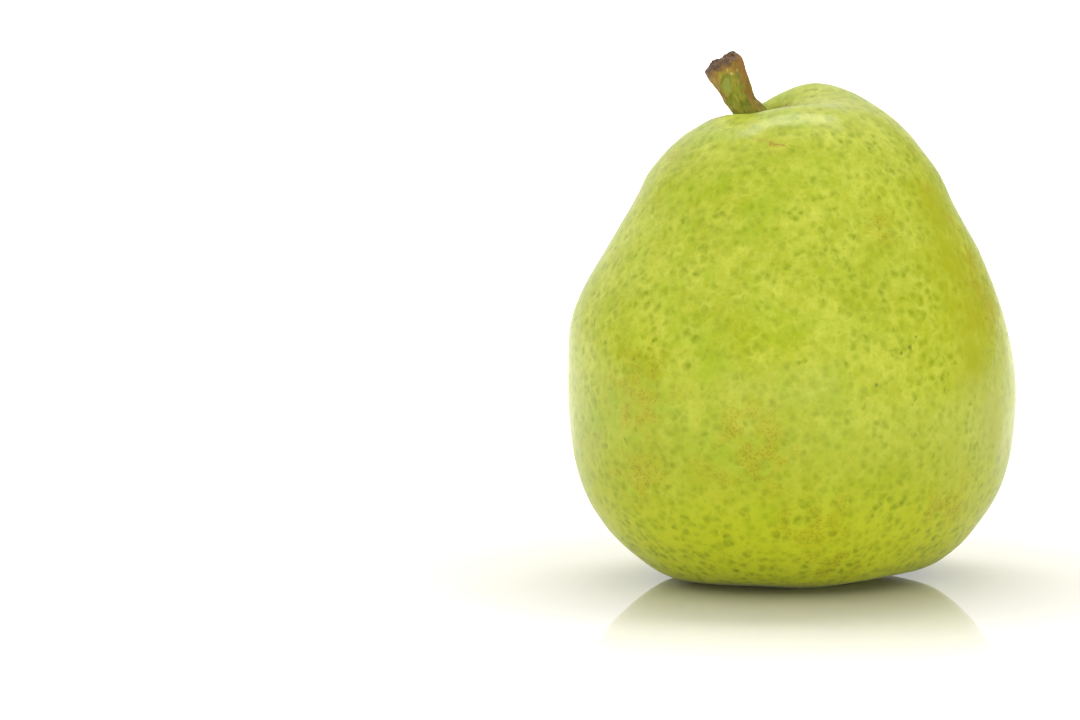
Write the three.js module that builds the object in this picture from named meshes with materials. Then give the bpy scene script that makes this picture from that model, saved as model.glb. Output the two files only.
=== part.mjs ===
// A squat round pear standing on its own foot: the fruit, its woody stem and the dried calyx underneath.
// Millimetres, +Z up. The origin is on the ground, under the middle of the fruit.
import * as THREE from "three";
import { ParametricGeometry } from "three/addons/geometries/ParametricGeometry.js";

// Heights and radii that set the fruit's outline.
const footRadius = 14.5;
const bellyRadius = 40.8;
const bellyHeight = 35;
const shoulderRadius = 21.3;
const shoulderHeight = 80.4;
const rimRadius = 11.4;
const rimHeight = 86.2;
const basinHeight = 5.6;
const socketRadius = 3.9;
const socketHeight = 79.2;

// The stem hollow stands to the left of the fruit's middle, so the crown is a hump on the right.
// Its rim tilts up towards the hump, and two-fold and three-fold waves run round it.
const hollowDrift = -6.3;
const crownStart = 79;
const crownTop = 88.5;
const crownSlope = 0.29;
const crownTiltAngle = THREE.MathUtils.degToRad(6);
const crownSaddle = 1.5;
const crownSaddleAngle = THREE.MathUtils.degToRad(54);
const crownWave = 0.75;
const crownWaveAngle = THREE.MathUtils.degToRad(57);

// The fruit isn't quite round, and five soft lobes run out of the calyx basin.
const ovality = 0.05;
const ovalAngle = THREE.MathUtils.degToRad(42);
const sideSwell = 0.3;
const lobeCount = 5;
const lobeDepth = 0.42;
const lobeHeight = 12;
const lobeAngle = THREE.MathUtils.degToRad(70);

// The stem leans to the left, narrows above its root and flares to a torn tip.
const stemRootRadius = 3.3;
const stemNeckRadius = 2.5;
const stemTipRadius = 3.5;
const stemTipDome = 1.3;
const stemRidges = 6;
const stemRidgeShare = 0.05;

// The calyx: five dried sepals spreading from a small ring in the basin.
const sepalCount = 5;
const sepalReach = 6.4;
const calyxRingRadius = 2.7;
const sepalThickness = 0.8;
const sepalDroop = 2.4;
const calyxGap = 0.4;

// How finely each surface is divided, around and along.
const fruitSteps = { around: 72, perSpan: 3 };
const stemSteps = { around: 28, along: 30 };
const calyxSteps = { around: 60, along: 16 };

// A ring of an outline: its radius, its height and how far its middle stands to the right.
function ring(radius, height, drift = 0) {
  return new THREE.Vector3(radius, height, drift);
}

// Rings from the middle of the calyx basin, over the foot, up the side and down into the stem hollow.
const fruitRings = [
  ring(0, basinHeight),
  ring(4, basinHeight - 0.2),
  ring(8.5, 2.8),
  ring(footRadius - 2.8, 0.5),
  ring(footRadius, -0.25),
  ring(19.4, 0.7, -2.1),
  ring(26.5, 2.7),
  ring(34.1, 9.9),
  ring(39.2, 20),
  ring(bellyRadius, bellyHeight),
  ring(39, 49, -0.9),
  ring(33.9, 60, -0.2),
  ring(28.6, 69.5),
  ring(26, 74.7),
  ring(shoulderRadius, shoulderHeight, 0.1),
  ring(16.7, 84.3, -2.4),
  ring(rimRadius, rimHeight, -4.2),
  ring(7, 85, hollowDrift),
  ring(4.7, 82, hollowDrift),
  ring(socketRadius, socketHeight + 0.4, hollowDrift + 0.1),
  ring(0, socketHeight, hollowDrift + 0.2),
];

// The middle line of the stem, from its root in the hollow to its tip.
const stemLine = new THREE.CatmullRomCurve3([
  new THREE.Vector3(hollowDrift + 0.1, 0, socketHeight + 0.7),
  new THREE.Vector3(hollowDrift, 0, 82.2),
  new THREE.Vector3(-7.8, 0, 84.8),
  new THREE.Vector3(-9.5, 0, 87.4),
  new THREE.Vector3(-10.7, 0, 89.8),
  new THREE.Vector3(-12, 0, 92.3),
  new THREE.Vector3(-12.7, 0, 93.8),
]);

// The stem's radius at even steps along that line.
const stemRadii = new THREE.SplineCurve([
  new THREE.Vector2(0, stemRootRadius - 0.1),
  new THREE.Vector2(0.17, stemRootRadius),
  new THREE.Vector2(0.34, 2.9),
  new THREE.Vector2(0.52, stemNeckRadius),
  new THREE.Vector2(0.68, 2.85),
  new THREE.Vector2(0.86, 3.35),
  new THREE.Vector2(1, stemTipRadius),
]);

// The angle at a share of a full turn. The last column is the first one again, so the surface closes.
function angleAt(share) {
  return 2 * Math.PI * (share % 1);
}

// 0 below the first value, 1 above the second, and smooth between them.
function ease(value, from, to) {
  return THREE.MathUtils.smoothstep(value, from, to);
}

// How much the side stands out at an angle and height: broad, shallow swells.
function swellAt(angle, height) {
  const along = height / bellyHeight;
  return sideSwell * (Math.sin(3 * angle + 1.3 * along) + 0.6 * Math.sin(5 * angle - 2 * along + 1)) / 1.6;
}

// How far the crown is lifted at a ring's angle: it tilts up to the right and its rim waves.
function crownLift(angle, radius, height) {
  const tilt = crownSlope * radius * Math.cos(angle - crownTiltAngle);
  const saddle = crownSaddle * Math.cos(2 * (angle - crownSaddleAngle));
  const wave = crownWave * Math.cos(3 * (angle - crownWaveAngle));
  return (tilt + (saddle + wave) * ease(radius, socketRadius, rimRadius)) * ease(height, crownStart, crownTop);
}

// How far the ground side is lifted between the five lobes that carry the fruit.
function lobeLift(angle, radius, height) {
  const share = (1 - ease(height, 0, lobeHeight)) * ease(radius, 0, footRadius);
  return share * lobeDepth * (1 - Math.cos(lobeCount * (angle - lobeAngle))) / 2;
}

function makeFruit() {
  const outline = new THREE.CatmullRomCurve3(fruitRings, false, "catmullrom");
  const surface = (u, v, target) => {
    const angle = angleAt(u);
    const { x: radius, y: height, z: drift } = outline.getPoint(v);
    const outside = ease(radius, 4, shoulderRadius);
    const oval = 1 + ovality * Math.cos(2 * (angle - ovalAngle)) * outside;
    const reach = radius * oval + swellAt(angle, height) * ease(radius, footRadius, bellyRadius);
    const lift = crownLift(angle, radius, height) + lobeLift(angle, radius, height);
    const z = Math.max(0, height + lift);
    target.set(drift + reach * Math.cos(angle), reach * Math.sin(angle), z);
  };
  const along = fruitSteps.perSpan * (fruitRings.length - 1);
  const skin = new THREE.MeshStandardMaterial({ color: 0xb7c545, roughness: 0.4, metalness: 0 });
  const fruit = new THREE.Mesh(new ParametricGeometry(surface, fruitSteps.around, along), skin);
  fruit.name = "fruit";
  return fruit;
}

// How rough the stem is at an angle and a share of its length: ridges, small knots and a torn tip.
function stemRelief(angle, share) {
  const ridges = stemRidgeShare * Math.cos(stemRidges * angle + 1.5 * share);
  const knots = 0.03 * Math.sin(5 * angle + 19 * share) * Math.sin(3 * angle - 31 * share);
  return 1 + (ridges + knots) * ease(share, 0.15, 0.4);
}

function makeStem() {
  const tipShare = 0.82;
  const rootShare = 0.06;
  const depth = new THREE.Vector3(0, 1, 0);
  const surface = (u, v, target) => {
    const angle = angleAt(u);
    const share = THREE.MathUtils.clamp((v - rootShare) / (tipShare - rootShare), 0, 1);
    const closing = ease(v, 0, rootShare) * Math.cos((Math.PI / 2) * Math.max(0, v - tipShare) / (1 - tipShare));
    const direction = stemLine.getTangentAt(share);
    const across = new THREE.Vector3().crossVectors(depth, direction);
    const radius = stemRadii.getPointAt(share).y * stemRelief(angle, share) * closing;
    const torn = 1 + 0.35 * Math.sin(3 * angle + 0.6) * closing + 0.3 * Math.cos(5 * angle) * closing;
    const dome = stemTipDome * Math.sin((Math.PI / 2) * Math.max(0, v - tipShare) / (1 - tipShare)) * torn;
    target.copy(stemLine.getPointAt(share));
    target.addScaledVector(across, radius * Math.cos(angle));
    target.addScaledVector(depth, radius * Math.sin(angle));
    target.addScaledVector(direction, dome);
  };
  const bark = new THREE.MeshStandardMaterial({ color: 0x868238, roughness: 0.8, metalness: 0 });
  const stem = new THREE.Mesh(new ParametricGeometry(surface, stemSteps.around, stemSteps.along), bark);
  stem.name = "stem";
  return stem;
}

function makeCalyx() {
  const surface = (u, v, target) => {
    const angle = angleAt(u);
    const fromMiddle = 1 - Math.abs(2 * v - 1);
    const petal = Math.abs(1 - 2 * ((sepalCount * u) % 1));
    const reach = calyxRingRadius + (sepalReach - calyxRingRadius) * petal;
    const radius = reach * fromMiddle;
    const droop = sepalDroop * ease(radius, 1, sepalReach) - 0.5 * petal * ease(radius, 4.5, sepalReach);
    const halfThick = (sepalThickness / 2) * Math.sqrt(1 - fromMiddle ** 8);
    const side = v < 0.5 ? -1 : 1;
    const middle = basinHeight - calyxGap - sepalThickness / 2 - 0.2 - droop;
    target.set(radius * Math.cos(angle), radius * Math.sin(angle), middle + side * halfThick);
  };
  const dried = new THREE.MeshStandardMaterial({ color: 0x4a3622, roughness: 0.9, metalness: 0 });
  const calyx = new THREE.Mesh(new ParametricGeometry(surface, calyxSteps.around, calyxSteps.along), dried);
  calyx.name = "calyx";
  return calyx;
}

const pear = new THREE.Group();
pear.add(makeFruit(), makeStem(), makeCalyx());

// The fruit's widest box is centred over the origin.
const middle = new THREE.Box3().setFromObject(pear).getCenter(new THREE.Vector3());
pear.position.set(-middle.x, -middle.y, 0);

export default pear;
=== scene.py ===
# A squat green pear standing on its own foot, on a pale glossy table in soft white light.
import math

import bpy
from mathutils import Matrix, Vector, noise


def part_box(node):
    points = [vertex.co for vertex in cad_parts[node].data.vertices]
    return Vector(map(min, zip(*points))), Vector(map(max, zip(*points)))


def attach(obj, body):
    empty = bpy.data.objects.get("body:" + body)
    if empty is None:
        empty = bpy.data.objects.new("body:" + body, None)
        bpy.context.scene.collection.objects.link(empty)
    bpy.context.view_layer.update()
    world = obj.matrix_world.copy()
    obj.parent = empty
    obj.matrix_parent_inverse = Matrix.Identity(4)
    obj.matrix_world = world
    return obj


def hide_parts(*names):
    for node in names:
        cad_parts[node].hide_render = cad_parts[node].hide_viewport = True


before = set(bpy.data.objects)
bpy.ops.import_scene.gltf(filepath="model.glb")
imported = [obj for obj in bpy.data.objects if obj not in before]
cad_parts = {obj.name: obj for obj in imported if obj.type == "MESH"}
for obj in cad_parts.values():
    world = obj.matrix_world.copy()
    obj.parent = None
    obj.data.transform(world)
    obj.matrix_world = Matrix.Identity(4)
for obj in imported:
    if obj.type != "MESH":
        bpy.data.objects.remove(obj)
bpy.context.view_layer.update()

# Metres. A length in millimetres is multiplied by MM.
MM = 0.001
MERGE_GAP = 0.001 * MM
TABLE_SIDE = 12

# The camera looks along +Y and a little down, at a spot beside the pear, as in the photograph.
CAMERA_AIM = Vector((-46.19, 4.15, 39.46)) * MM
CAMERA_DISTANCE = 1000 * MM
CAMERA_ELEVATION = math.radians(6)
PHOTO_WIDTH = 1080
PIXEL_AT_AIM = 0.18345 * MM
SENSOR_WIDTH = 36

# The stem runs from the middle of its root to the middle of its torn tip.
stem_low, stem_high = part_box("stem")
STEM_ROOT = Vector((stem_high.x - 3.6 * MM, 0, stem_low.z))
STEM_TIP = Vector((stem_low.x + 3.1 * MM, 0, stem_high.z))
STEM_WAY = (STEM_TIP - STEM_ROOT).normalized()
STEM_LENGTH = (STEM_TIP - STEM_ROOT).length
STEM_RIGHT = Vector((0, 1, 0)).cross(STEM_WAY)

# The dried calyx: five sepals round a cup with the stubs of the stamens in it.
# Each ring of a piece has its middle, right of the calyx's own middle and up, and its half width and depth.
SEPAL_COUNT = 5
SEPAL_REACH = 6.4
calyx_low, calyx_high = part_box("calyx")
CALYX_MIDDLE = Vector((calyx_high.x / MM - SEPAL_REACH, (calyx_low.y + calyx_high.y) / 2 / MM, 0))
SEPAL_RINGS = [
    ((1.6, 0, 4.6), (1, 0.9, 0.3)), ((2.6, 0, 4.3), (1, 1.45, 0.36)), ((3.6, 0, 3.8), (1, 1.5, 0.34)),
    ((4.5, 0, 3.3), (1, 1.25, 0.3)), ((5.3, 0, 3.0), (1, 0.85, 0.26)), ((5.9, 0, 2.95), (1, 0.45, 0.2)),
    ((6.3, 0, 3.1), (1, 0.16, 0.1)),
]
CUP_RINGS = [
    ((0, 0, 4.9), (1.0, 1.0, 1)), ((0, 0, 4.8), (2.3, 2.3, 1)), ((0, 0, 4.4), (2.8, 2.8, 1)),
    ((0, 0, 3.9), (2.7, 2.7, 1)), ((0, 0, 3.7), (2.3, 2.3, 1)), ((0, 0, 3.9), (1.9, 1.9, 1)),
    ((0, 0, 4.4), (1.3, 1.3, 1)),
]
STAMEN_COUNT = 11
STAMEN_RINGS = [
    ((1.3, 0, 4.3), (0.2, 0.2, 1)), ((1.5, 0, 3.7), (0.14, 0.14, 1)), ((1.8, 0, 3.1), (0.12, 0.12, 1)),
    ((1.95, 0, 2.85), (0.22, 0.22, 1)), ((2.0, 0, 2.6), (0.12, 0.12, 1)),
]

# The studio's brightness: 1 shows as white. The backdrop's middle lies behind the pear, to its left.
BACKDROP_WAY = Vector((-0.5, 1, 0.15))
BACKDROP_GLOW = 1.1
CEILING_GLOW = 0.75
SIDE_GLOW = 0.18
SKYLIGHT = 0.85


def colour(code):
    """An sRGB colour such as 0xB7C545, as the linear values that a shader takes."""
    parts = [(code >> shift & 255) / 255 for shift in (16, 8, 0)]
    return (*(p / 12.92 if p <= 0.04045 else ((p + 0.055) / 1.055) ** 2.4 for p in parts), 1)


class Value:
    """A number or a place that changes over a surface. Arithmetic on values adds the nodes."""

    def __init__(self, nodes, socket):
        self.nodes = nodes
        self.socket = socket

    def _sum(self, operation, first, second):
        kind = "ShaderNodeMath" if self.socket.type == "VALUE" else "ShaderNodeVectorMath"
        return self.nodes.add(kind, {"operation": operation}, {0: first, 1: second})

    def __add__(self, other):
        return self._sum("ADD", self, other)

    def __sub__(self, other):
        return self._sum("SUBTRACT", self, other)

    def __mul__(self, other):
        return self._sum("MULTIPLY", self, other)

    def __truediv__(self, other):
        return self._sum("DIVIDE", self, other)

    def __radd__(self, other):
        return self._sum("ADD", other, self)

    def __rsub__(self, other):
        return self._sum("SUBTRACT", other, self)

    def __rmul__(self, other):
        return self._sum("MULTIPLY", other, self)

    def rise(self, low, high):
        """0 below the first number, 1 above the second, and smooth between them."""
        inputs = {"Value": self, "From Min": low, "From Max": high}
        return self.nodes.add("ShaderNodeMapRange", {"interpolation_type": "SMOOTHSTEP"}, inputs)

    def fall(self, low, high):
        """1 below the first number, 0 above the second, and smooth between them."""
        return 1 - self.rise(low, high)

    def larger(self, other):
        return self._sum("MAXIMUM", self, other)

    def along(self, way):
        """How far a place lies along a way."""
        settings = {"operation": "DOT_PRODUCT"}
        return self.nodes.add("ShaderNodeVectorMath", settings, {0: self, 1: tuple(way)}, "Value")

    def distance(self, place=(0, 0, 0)):
        settings = {"operation": "DISTANCE"}
        return self.nodes.add("ShaderNodeVectorMath", settings, {0: self, 1: tuple(place)}, "Value")


class Nodes:
    """The nodes of a material or of the studio's light."""

    def __init__(self, tree):
        self.tree = tree

    def add(self, kind, settings=None, inputs=None, output=0):
        made = self.tree.nodes.new(kind)
        for name, value in (settings or {}).items():
            setattr(made, name, value)
        for name, value in (inputs or {}).items():
            self.join(value, made.inputs[name])
        return Value(self, made.outputs[output])

    def join(self, value, socket):
        if isinstance(value, Value):
            self.tree.links.new(value.socket, socket)
        else:
            socket.default_value = value


class Finish(Nodes):
    """A material. Places in it are in millimetres of the piece's own frame."""

    def __init__(self, name):
        self.material = bpy.data.materials.new(name)
        self.material.use_nodes = True
        super().__init__(self.material.node_tree)
        self.shader = self.tree.nodes["Principled BSDF"]
        self.place = self.add("ShaderNodeTexCoord", output="Object") * (1 / MM, 1 / MM, 1 / MM)

    def mix(self, mask, first, second):
        """The first colour where the mask is 0, the second where it is 1."""
        return self.add("ShaderNodeMix", {"data_type": "RGBA"}, {0: mask, 6: first, 7: second}, 2)

    def clouds(self, place, size, detail=2.0, roughness=0.5):
        """Soft noise about 0.5, with lumps of about a size in millimetres."""
        inputs = {"Vector": place, "Scale": 1 / size, "Detail": detail, "Roughness": roughness}
        return self.add("ShaderNodeTexNoise", None, inputs, "Fac")

    def dots(self, place, spacing):
        """The distance to the nearest of many scattered points, as a share of their spacing."""
        return self.add("ShaderNodeTexVoronoi", None, {"Vector": place, "Scale": 1 / spacing}, "Distance")

    def chance(self, place, spacing):
        """A number between 0 and 1 for each of those points, even over the ground nearest to it."""
        tint = self.add("ShaderNodeTexVoronoi", None, {"Vector": place, "Scale": 1 / spacing}, "Color")
        return tint.along((1, 0, 0))

    def near(self, spots):
        """How near a place is to the closest of a list of spots with a reach: 1 at one of them."""
        nearest = 0
        for spot, reach in spots:
            nearest = self.place.distance(spot).fall(reach * 0.15, reach).larger(nearest)
        return nearest

    def set(self, **values):
        """Sets the shader's sockets, named with underscores for their spaces."""
        for name, value in values.items():
            self.join(value, self.shader.inputs[name.replace("_", " ")])

    def relief(self, height, depth):
        """Gives the surface a fine relief, this many millimetres deep."""
        inputs = {"Height": height, "Distance": depth * MM, "Strength": 1.0}
        self.join(self.add("ShaderNodeBump", None, inputs), self.shader.inputs["Normal"])


# Places on the skin, in millimetres right of the middle, towards the back and up, with a reach:
# patches of freckles, single dark specks, the side that the sun has yellowed and a streak along it.
FRECKLE_PATCHES = [
    ((-28.5, -32, 37), 13), ((-9.5, -40, 28), 14), ((5.5, -29, 6), 9), ((-29.5, -30, 22.5), 10),
    ((27, -24, 17), 9), ((-6, -19.5, 81.5), 5), ((2, -37, 15.5), 10), ((33, -12, 52), 12),
    ((-27.7, -6.5, 67), 7), ((-23, -11, 78), 6), ((14, -25, 66), 5), ((24, -14, 74), 6),
    ((14, 33, 48), 12), ((-20, 34, 20), 11), ((30, 22, 30), 10), ((-34, 10, 48), 9), ((4, 22, 70), 9),
]
SPECKS = [
    ((19.2, -31.8, 45.5), 0.4), ((17.6, -33, 44.6), 0.3), ((13.1, -36.4, 39.3), 0.35),
    ((21.0, -31.0, 41.8), 0.3), ((20.3, -30.5, 47.2), 0.25), ((22.0, -22.0, 59.5), 0.3),
    ((21.6, -23.5, 56.8), 0.35), ((24.2, -21.5, 56.0), 0.3), ((13.6, -27.5, 60.6), 0.3),
    ((-33, -22, 30), 0.3), ((8, 36, 40), 0.35), ((-16, 33, 44), 0.3),
]
SUNNED = [
    ((26, -12.5, 68), 9), ((28, -18, 60), 11), ((31.5, -19, 51), 12), ((33, -21, 41), 11),
    ((36, -18, 32), 9),
]
SUN_STREAK = [((28, -9.5, 67), 4), ((30.5, -11, 61), 5), ((33, -11.5, 56), 5), ((35.5, -11, 50), 4)]

# The russet wall of the stem hollow that shows behind its front rim.
HOLLOW_WALL = [((-5.0, 5.2, 84.6), 2.0), ((-3.0, 4.6, 85.4), 1.8), ((-1.0, 3.8, 86.2), 1.5)]

# The two ends of the scratch on the crown.
SCRATCH = ((-9.0, -17.3, 82.1), (-1.9, -21.4, 80.1))

# The colours of the skin, the bark and the dried calyx.
SKIN_PALE = colour(0xBEC346)
SKIN_FRESH = colour(0x98A200)
SKIN_GREEN = colour(0x8AA800)
# Painted shade: a darker tone that the lower part of the skin takes on.
SKIN_LOW_PAINTED_SHADE = colour(0x99A302)
# Painted bounce light: a brighter tone for the foot, as if lit from the table.
SKIN_FOOT_PAINTED_BOUNCE = colour(0xC8D024)
SKIN_SUNNED = colour(0x9CA000)
SKIN_ORANGE = colour(0xA89A00)
LENTICEL = colour(0x7E9000)
FRECKLE = colour(0x7C6C00)
SPECK = colour(0x4F5A10)
SCRATCHED = colour(0x986820)
RUSSET = colour(0x7F6228)

BARK_GREEN = colour(0x7A8208)
BARK_OLIVE = colour(0x918B18)
BARK_YELLOW = colour(0x98881C)
BARK_STREAK = colour(0xB5A442)
BARK_BROWN = colour(0x865712)
BARK_DARK = colour(0x574512)
BARK_MOSS = colour(0x5C6808)
BARK_SCAR = colour(0x7E8A34)
BARK_TORN = colour(0x342725)
BARK_TORN_LIGHT = colour(0x785428)
BARK_WART = colour(0xD6C27A)

CALYX_DARK = colour(0x2E2014)
CALYX_LIGHT = colour(0x6B5030)

# The table's colour near the pear, darker there as painted shade, and away from it, and the glow of its far
# part.
TABLE_PAINTED_SHADE_NEAR = colour(0xE4E0D2)
TABLE_FAR = colour(0xF7F4EC)
NO_GLOW = (0, 0, 0, 1)
WHITE_GLOW = (1, 0.99, 0.97, 1)

# Pushes that shape the outline of the stem and of the crown beside it: a place, a move and a reach.
STEM_LUMPS = [
    ((-15.8, 0, 90.4), (-0.15, 0, 0.1), 2.8), ((-15.4, 0, 91.9), (-0.3, 0, 0), 1.8),
    ((-11.4, 0, 95.8), (0.1, 0, 0.35), 1.8), ((-12.2, 0, 86.8), (-0.2, 0, 0), 2.6),
]
CROWN_LUMPS = [((-12, -7, 85.4), (0, 0, 0.45), 5.5), ((-16, -1, 83.6), (0.1, 0, -0.25), 3.0)]

# The healed scar on the front of the stem: its middle, and how much a distance counts along each axis.
SCAR = (-12.4, -2.9, 90.0)
SCAR_SHAPE = (0.98, 0.5, 0.52)

# Small pale warts above the scar.
WARTS = [
    ((-12.3, -3.4, 93.0), 0.42), ((-10.3, -2.6, 93.0), 0.48), ((-11.5, -3.2, 92.4), 0.4),
    ((-11.1, -3.0, 92.2), 0.32), ((-13.1, -3.4, 93.4), 0.32),
]


def make_skin_finish():
    skin = Finish("pear_skin")
    place = skin.place
    swirl = skin.add("ShaderNodeTexNoise", None, {"Vector": place, "Scale": 0.6, "Detail": 2.0}, "Color")
    warped = place + swirl * (1.7, 1.7, 1.7)

    # The ground tone is mottled at four sizes. Painted shade darkens it towards the foot, greener patches
    # gather on the left, and painted bounce light brightens the foot itself.
    broad = skin.clouds(place, 16, 2.0).rise(0.35, 0.66)
    mottle = skin.clouds(place, 5, 3.0, 0.6).rise(0.34, 0.66)
    fine = skin.clouds(warped, 1.5, 3.0, 0.6).rise(0.34, 0.66)
    grain = skin.clouds(place, 0.45, 2.0, 0.6).rise(0.34, 0.66)
    tone = skin.mix(broad * 0.22 + mottle * 0.32 + fine * 0.28 + grain * 0.18, SKIN_FRESH, SKIN_PALE)

    height = place.along((0, 0, 1))
    # Painted shade: the skin darkens towards the foot.
    tone = skin.mix(height.fall(6, 58) * 0.6, tone, SKIN_LOW_PAINTED_SHADE)
    green = skin.clouds(place + (30, 0, 0), 8, 3.0, 0.6).rise(0.44, 0.66)
    on_the_left = place.along((-1, 0, 0)).rise(-30, 14)
    tone = skin.mix(green * on_the_left * 0.38, tone, SKIN_GREEN)
    # Painted bounce light from the table: the lowest part of the skin is brighter.
    tone = skin.mix(height.fall(3, 27) * 0.9, tone, SKIN_FOOT_PAINTED_BOUNCE)

    # Lenticels of two sizes.
    lenticels = skin.dots(warped, 1.75).fall(0.0, 0.75) * skin.chance(warped, 1.75).rise(-0.5, 0.8)
    small_place = warped + (3, 8, 1)
    small_chance = skin.chance(small_place, 1.05).rise(0.2, 0.8)
    small_lenticels = skin.dots(small_place, 1.05).fall(0.0, 0.6) * small_chance
    spotted = lenticels * 0.7 + small_lenticels * 0.38
    tone = skin.mix(spotted * (0.85 + mottle * 0.4), tone, LENTICEL)

    # The sunned side, with streaks.
    sunned = skin.near(SUNNED)
    streaks = skin.clouds(place * (1, 1, 0.5), 3.0, 3.0, 0.6)
    tone = skin.mix(sunned * (0.45 + streaks.rise(0.35, 0.65) * 0.4), tone, SKIN_SUNNED)
    tone = skin.mix(skin.near(SUN_STREAK) * streaks.rise(0.4, 0.58) * 0.6, tone, SKIN_ORANGE)

    # Freckles crowd in stained patches, and are faint elsewhere.
    patches = skin.near(FRECKLE_PATCHES) * skin.clouds(place, 3.6, 3.0).rise(0.42, 0.6)
    freckles = skin.dots(place + (7, 3, 5), 0.5).fall(0.16, 0.5)
    tone = skin.mix(patches * 0.38, tone, SKIN_ORANGE)
    tone = skin.mix(freckles * (patches * 0.56 + 0.05), tone, FRECKLE)

    for spot, reach in SPECKS:
        tone = skin.mix(place.distance(spot).fall(reach * 0.5, reach * 1.7) * 0.65, tone, SPECK)

    # The scratch wanders beside a straight line, and fades out at both ends.
    start, end = (Vector(p) for p in SCRATCH)
    way = (end - start).normalized()
    across = way.cross(Vector((0, 0, 1))).cross(way).normalized()
    wander = skin.clouds(place, 1.6, 2.0) - 0.5
    beside = (place - tuple(start)).along(across) + wander * 1.5
    along = (place - tuple(start)).along(way)
    near = place.distance(tuple((start + end) / 2)).fall(4.5, 6.5)
    line = (beside * beside).fall(0.0, 0.03) * along.rise(-0.5, 8) * along.fall(7.6, 8.8) * near
    tone = skin.mix(line * (0.4 + 0.7 * skin.clouds(place, 0.7)), tone, SCRATCHED)

    # Russet lines the stem hollow and the calyx basin.
    hollow = place.distance(tuple(STEM_ROOT / MM)).fall(3.6, 6.6).larger(skin.near(HOLLOW_WALL))
    tone = skin.mix(hollow * skin.clouds(place, 1.6, 3.0).rise(0.25, 0.55) * 0.75, tone, RUSSET)
    basin = place.distance((0, 0, 5)).fall(4, 9) * skin.clouds(place, 2.2, 3.0).rise(0.25, 0.6)
    tone = skin.mix(basin * 0.7, tone, RUSSET)

    skin.set(Base_Color=tone, Roughness=0.42 + mottle * 0.06)
    skin.set(Subsurface_Weight=0.12, Subsurface_Radius=(1.0, 0.8, 0.3), Subsurface_Scale=0.002)
    skin.set(Coat_Weight=0.32, Coat_Roughness=0.22, IOR=1.2, Sheen_Weight=0.08, Sheen_Roughness=0.3)
    peel = skin.clouds(place, 1.1, 2.0, 0.6)
    fine_peel = skin.clouds(place, 0.45, 1.0)
    skin.relief(peel * 0.7 + fine_peel * 0.3 - lenticels * 0.2, 0.05)
    return skin.material


def make_bark_finish():
    bark = Finish("stem_bark")
    from_root = bark.place - tuple(STEM_ROOT / MM)
    along = from_root.along(STEM_WAY) / (STEM_LENGTH / MM)
    right = from_root.along(STEM_RIGHT)
    deep = from_root.along((0, 1, 0))
    grain_place = bark.add("ShaderNodeCombineXYZ", None, {0: right, 1: deep, 2: along * 3.0})

    # Olive bark with pale streaks along the grain, yellower above.
    grain = bark.clouds(grain_place, 0.5, 3.0, 0.6)
    blotch = bark.clouds(bark.place, 1.6, 3.0, 0.6)
    speckle = bark.clouds(bark.place, 0.55, 4.0, 0.7)
    tone = bark.mix(blotch.rise(0.4, 0.6), BARK_GREEN, BARK_OLIVE)
    yellow = along.rise(0.5, 0.72) * (right + (speckle - 0.5) * 2).fall(-1.2, 0.6)
    tone = bark.mix(yellow * (0.3 + blotch * 0.6), tone, BARK_YELLOW)
    tone = bark.mix(grain.rise(0.54, 0.66) * 0.4, tone, BARK_STREAK)

    # Brown on the right side and along the left edge, and dark streaks.
    brown = (right + (blotch - 0.5) * 4 + (grain - 0.5) * 8).rise(0.2, 2.2) * along.rise(0.2, 0.5)
    tone = bark.mix(brown * 0.8, tone, BARK_BROWN)
    edge = (0 - right + (blotch - 0.5) * 2).rise(1.9, 2.7) * along.rise(0.35, 0.6)
    tone = bark.mix(edge * 0.6, tone, BARK_BROWN)
    tone = bark.mix(grain.fall(0.36, 0.48) * 0.5, tone, BARK_DARK)

    # The healed scar, with a mossy line above it.
    uneven = (blotch - 0.5) * 0.7 + (speckle - 0.5) * 0.35
    scar = ((bark.place - SCAR) * SCAR_SHAPE).distance() + uneven
    tone = bark.mix(scar.fall(0.55, 1.25) * (0.55 + speckle * 0.5), tone, BARK_SCAR)
    above = (bark.place - SCAR).along(STEM_WAY).rise(0.3, 1.6)
    tone = bark.mix(scar.rise(0.75, 1.05) * scar.fall(1.1, 1.4) * above * 0.7, tone, BARK_MOSS)

    # The torn tip, its browned edge and the warts.
    rim = (along + uneven * 0.3 - right * 0.012).rise(0.82, 0.93)
    torn = bark.mix(speckle.rise(0.42, 0.62), BARK_TORN, BARK_TORN_LIGHT)
    browned = (along + uneven * 0.4 + right * 0.02).rise(0.7, 0.86)
    tone = bark.mix(browned * 0.6, tone, BARK_BROWN)
    tone = bark.mix(rim * 0.92, tone, torn)
    warts = bark.near(WARTS)
    tone = bark.mix(warts * 0.6, tone, BARK_WART)

    bark.set(Base_Color=tone, Roughness=0.62 + speckle * 0.2 - brown * 0.12)
    bark.relief(grain * 0.6 + speckle * (0.3 + rim * 0.4) + warts * 0.5, 0.3)
    return bark.material


def make_calyx_finish():
    dried = Finish("dried_calyx")
    blotch = dried.clouds(dried.place, 1.2, 4.0, 0.65)
    tone = dried.mix(blotch.rise(0.35, 0.65), CALYX_DARK, CALYX_LIGHT)
    dried.set(Base_Color=tone, Roughness=0.8 + blotch * 0.1)
    dried.relief(blotch, 0.15)
    return dried.material


def ease(value, low, high):
    """0 below the first number, 1 above the second, and smooth between them."""
    share = min(max((value - low) / (high - low), 0), 1)
    return share * share * (3 - 2 * share)


def only(piece):
    """Makes a piece the one that operators act on."""
    bpy.ops.object.select_all(action="DESELECT")
    piece.select_set(True)
    bpy.context.view_layer.objects.active = piece


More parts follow.
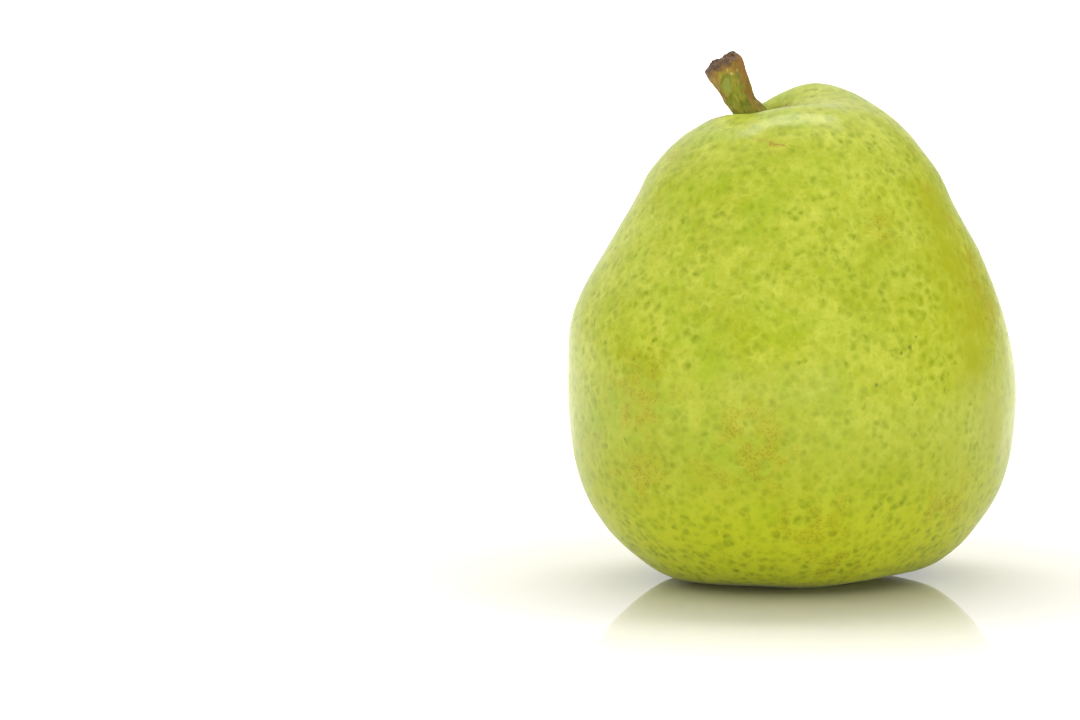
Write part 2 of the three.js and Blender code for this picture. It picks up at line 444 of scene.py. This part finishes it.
def copy_of(node, name):
    """A new piece that starts as a copy of a node's own shape, merged and turned to quads."""
    piece = bpy.data.objects.new(name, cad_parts[node].data.copy())
    bpy.context.collection.objects.link(piece)
    piece.data.materials.clear()
    only(piece)
    bpy.ops.mesh.customdata_custom_splitnormals_clear()
    bpy.ops.object.mode_set(mode="EDIT")
    bpy.ops.mesh.select_all(action="SELECT")
    bpy.ops.mesh.remove_doubles(threshold=MERGE_GAP)
    bpy.ops.mesh.tris_convert_to_quads(face_threshold=math.radians(60), shape_threshold=math.radians(80))
    bpy.ops.object.mode_set(mode="OBJECT")
    return piece


def subdivide(piece, levels):
    """Divides a piece's faces and rounds them."""
    only(piece)
    finer = piece.modifiers.new("finer", "SUBSURF")
    finer.levels = levels
    finer.render_levels = levels
    bpy.ops.object.modifier_apply(modifier="finer")


def sculpt(piece, depth):
    """Moves each point of a piece along its normal by what a rule says of its place, in millimetres."""
    moves = [vertex.normal * depth(vertex.co / MM) * MM for vertex in piece.data.vertices]
    for vertex, move in zip(piece.data.vertices, moves):
        vertex.co += move
    piece.data.update()


def push(piece, place, move, reach):
    """Pushes the surface round a place by a move, fading out over a reach, all in millimetres."""
    middle, shift = Vector(place) * MM, Vector(move) * MM
    for vertex in piece.data.vertices:
        near = 1 - ease((vertex.co - middle).length, 0, reach * MM)
        vertex.co += shift * near
    piece.data.update()


def finish(piece, material, node):
    """Gives a piece its finish, sets it on the root body and hides the node that it replaces."""
    only(piece)
    bpy.ops.object.shade_smooth()
    piece.data.materials.append(material)
    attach(piece, "root")
    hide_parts(node)


def make_fruit():
    """The fruit's own shape, finer, with shallow dimples and small pushes beside the stem hollow."""
    fruit = copy_of("fruit", "pear_fruit")
    subdivide(fruit, 2)

    def unevenness(place):
        off_the_table = ease(place.z, 0.5, 5)
        dimples = 0.16 * noise.noise(place / 7) + 0.06 * noise.noise(place / 2.6)
        return off_the_table * dimples

    sculpt(fruit, unevenness)
    for place, move, reach in CROWN_LUMPS:
        push(fruit, place, move, reach)
    finish(fruit, make_skin_finish(), "fruit")


def make_stem():
    """The stem's own shape, finer and with ridges, knots, a healed scar and a torn tip."""
    stem = copy_of("stem", "pear_stem")
    subdivide(stem, 3)
    root = STEM_ROOT / MM
    length = STEM_LENGTH / MM
    scar = Vector(SCAR)
    scar_shape = Vector(SCAR_SHAPE)

    def roughness(place):
        from_root = place - root
        along = from_root.dot(STEM_WAY) / length
        right = from_root.dot(STEM_RIGHT)
        grain = Vector((right, from_root.y, along * 3.5))
        ridges = 0.2 * noise.noise(grain / 1.1) + 0.1 * noise.noise(grain / 0.5)
        knots = 0.16 * noise.noise(place / 1.3)
        coarse_tear = 0.3 * noise.noise(place / 1.3)
        torn = coarse_tear + 0.26 * noise.noise(place / 0.55) + 0.12 * noise.noise(place / 0.28)
        at_tip = ease(along, 0.84, 0.96)
        from_scar = Vector(a * b for a, b in zip(place - scar, scar_shape)).length
        scarred = 1 - ease(from_scar, 0.85, 1.15)
        lip = 0.22 * ease(from_scar, 0.75, 1.0) * (1 - ease(from_scar, 1.05, 1.35))
        rough = (ridges + knots) * (1 - at_tip) * (1 - 0.8 * scarred) + torn * at_tip
        return ease(along, 0.12, 0.3) * (rough + lip - 0.18 * scarred)

    sculpt(stem, roughness)
    for place, move, reach in STEM_LUMPS:
        push(stem, place, move, reach)
    finish(stem, make_bark_finish(), "stem")


def drawn_out(name, sides, turn, rings):
    """A closed piece drawn out of a flat face, from one ring to the next."""
    bpy.ops.object.select_all(action="DESELECT")
    bpy.ops.mesh.primitive_circle_add(vertices=sides, radius=MM, fill_type="NGON", rotation=turn)
    piece = bpy.context.object
    piece.name = name
    bpy.ops.object.transform_apply(location=True, rotation=True, scale=True)
    bpy.ops.object.mode_set(mode="EDIT")
    bpy.ops.mesh.select_all(action="SELECT")
    bpy.ops.transform.resize(value=rings[0][1], center_override=(0, 0, 0))
    bpy.ops.transform.translate(value=Vector(rings[0][0]) * MM)
    for (last_middle, last_size), (middle, size) in zip(rings, rings[1:]):
        move = (Vector(middle) - Vector(last_middle)) * MM
        bpy.ops.mesh.extrude_region_move(TRANSFORM_OT_translate={"value": move})
        growth = [new / old for new, old in zip(size, last_size)]
        bpy.ops.transform.resize(value=growth, center_override=Vector(middle) * MM)
    bpy.ops.mesh.select_all(action="SELECT")
    bpy.ops.mesh.normals_make_consistent(inside=False)
    bpy.ops.object.mode_set(mode="OBJECT")
    return piece


def turned_copies(piece, count, name):
    """The piece and its copies, set evenly round the calyx. Each has its own mesh."""
    pieces = []
    for number in range(count):
        copy = piece if number == 0 else bpy.data.objects.new(f"{name}_{number + 1}", pieces[0].data.copy())
        if number > 0:
            bpy.context.collection.objects.link(copy)
            copy.data.transform(Matrix.Rotation(2 * math.pi * number / count, 4, "Z"))
        pieces.append(copy)
    for copy in pieces:
        copy.data.transform(Matrix.Translation(CALYX_MIDDLE * MM))
    return pieces


def make_calyx():
    """Five dried sepals, the cup that they grow from and the bent stubs of the stamens."""
    dried = make_calyx_finish()
    sideways = (0, math.pi / 2, 0)
    sepal = drawn_out("calyx_sepal_1", 10, sideways, SEPAL_RINGS)
    sepals = turned_copies(sepal, SEPAL_COUNT, "calyx_sepal")
    for piece in sepals:
        subdivide(piece, 3)
        sculpt(piece, lambda place: 0.3 * noise.noise(place / 1.7) + 0.14 * noise.noise(place / 0.6))

    cup = drawn_out("calyx_cup", 24, (0, 0, 0), CUP_RINGS)
    cup.data.transform(Matrix.Translation(CALYX_MIDDLE * MM))
    subdivide(cup, 2)
    sculpt(cup, lambda place: 0.25 * noise.noise(place / 0.9) + 0.1 * noise.noise(place / 0.4))

    stamen = drawn_out("calyx_stamens", 8, (0, 0, 0), STAMEN_RINGS)
    stamens = turned_copies(stamen, STAMEN_COUNT, "calyx_stamen")
    for copy in stamens:
        middle = sum((vertex.co for vertex in copy.data.vertices), Vector()) / len(copy.data.vertices) / MM
        bend = 0.5 * noise.noise_vector(middle * 2)
        push(copy, middle - Vector((0, 0, 0.9)), bend, 1.4)
    only(stamens[0])
    for copy in stamens:
        copy.select_set(True)
    bpy.ops.object.join()
    subdivide(stamens[0], 2)

    for piece in [*sepals, cup, stamens[0]]:
        finish(piece, dried, "calyx")


def make_table():
    """A pale glossy table top with painted shade round the pear. Its gloss fades away from the pear, and
    the table glows white beyond it.
    """
    bpy.ops.mesh.primitive_plane_add(size=TABLE_SIDE)
    table = bpy.context.object
    table.name = "table"
    gloss = Finish("white_table")
    away = gloss.place.distance()
    glow = gloss.mix(away.rise(55, 230), NO_GLOW, WHITE_GLOW)
    # Painted shade: the table is darker within about 25 to 95 mm of the pear.
    shade = gloss.mix(away.rise(25, 95), TABLE_PAINTED_SHADE_NEAR, TABLE_FAR)
    gloss.set(Base_Color=shade, Roughness=0.6, Specular_IOR_Level=0.0)
    gloss.set(Coat_Weight=away.fall(20, 175) * 0.8, Coat_Roughness=0.03, Coat_IOR=1.45)
    gloss.set(Emission_Color=glow, Emission_Strength=1.0)
    table.data.materials.append(gloss.material)


def add_softbox(name, place, aim, size, power):
    """A soft lamp that faces a place. Its power is in watts."""
    bpy.ops.object.light_add(type="AREA", location=place)
    softbox = bpy.context.object
    softbox.name = name
    softbox.data.shape = "RECTANGLE"
    softbox.data.size, softbox.data.size_y = size
    softbox.data.energy = power
    softbox.rotation_euler = (Vector(aim) - Vector(place)).to_track_quat("-Z", "Y").to_euler()


def make_studio():
    """A white studio: a bright backdrop and ceiling, dimmer at the sides and front."""
    world = bpy.data.worlds.new("white_studio")
    world.use_nodes = True
    studio = Nodes(world.node_tree)
    direction = studio.add("ShaderNodeTexCoord", output="Generated")
    backdrop = direction.along(BACKDROP_WAY.normalized()).rise(0.5, 0.85) * (BACKDROP_GLOW - SIDE_GLOW)
    ceiling = direction.along((0, 0, 1)).rise(0.25, 0.8) * (CEILING_GLOW - SIDE_GLOW)
    background = world.node_tree.nodes["Background"]
    background.inputs["Color"].default_value = (1, 1, 1, 1)
    seen = studio.add("ShaderNodeLightPath", output="Is Camera Ray")
    studio.join(seen.larger(SIDE_GLOW + backdrop.larger(ceiling)), background.inputs["Strength"])
    bpy.context.scene.world = world


def light_the_pear():
    """The studio with four soft lamps and a wide light from above."""
    make_studio()
    add_softbox("softbox_above", (0.02, 0.29, 0.78), (0, 0, 0.07), size=(0.6, 0.16), power=2.6)
    add_softbox("softbox_left", (-0.8, -0.85, 0.36), (0, 0, 0.04), size=(1.0, 0.7), power=1.75)
    add_softbox("softbox_low", (0.1, -1.1, 0.13), (0, 0, 0.02), size=(1.4, 0.22), power=2.7)
    add_softbox("softbox_right", (0.8, -0.85, 0.36), (0, 0, 0.04), size=(1.0, 0.7), power=2.1)
    bpy.ops.object.light_add(type="SUN", location=(0, 0, 2))
    sky = bpy.context.object
    sky.name = "skylight"
    sky.data.energy = SKYLIGHT
    sky.data.angle = math.radians(120)


def add_camera():
    """Looks at the aim from the front and a little above, with a lens that gives a pixel its size there."""
    back = Vector((0, -math.cos(CAMERA_ELEVATION), math.sin(CAMERA_ELEVATION)))
    bpy.ops.object.camera_add(location=CAMERA_AIM + back * CAMERA_DISTANCE)
    camera = bpy.context.object
    camera.rotation_euler = (math.pi / 2 - CAMERA_ELEVATION, 0, 0)
    camera.data.sensor_width = SENSOR_WIDTH
    camera.data.lens = SENSOR_WIDTH * CAMERA_DISTANCE / (PHOTO_WIDTH * PIXEL_AT_AIM)
    bpy.context.scene.camera = camera


bpy.ops.object.select_all(action="DESELECT")
add_camera()
make_fruit()
make_stem()
make_calyx()
make_table()
light_the_pear()
bpy.context.scene.view_settings.view_transform = "Standard"
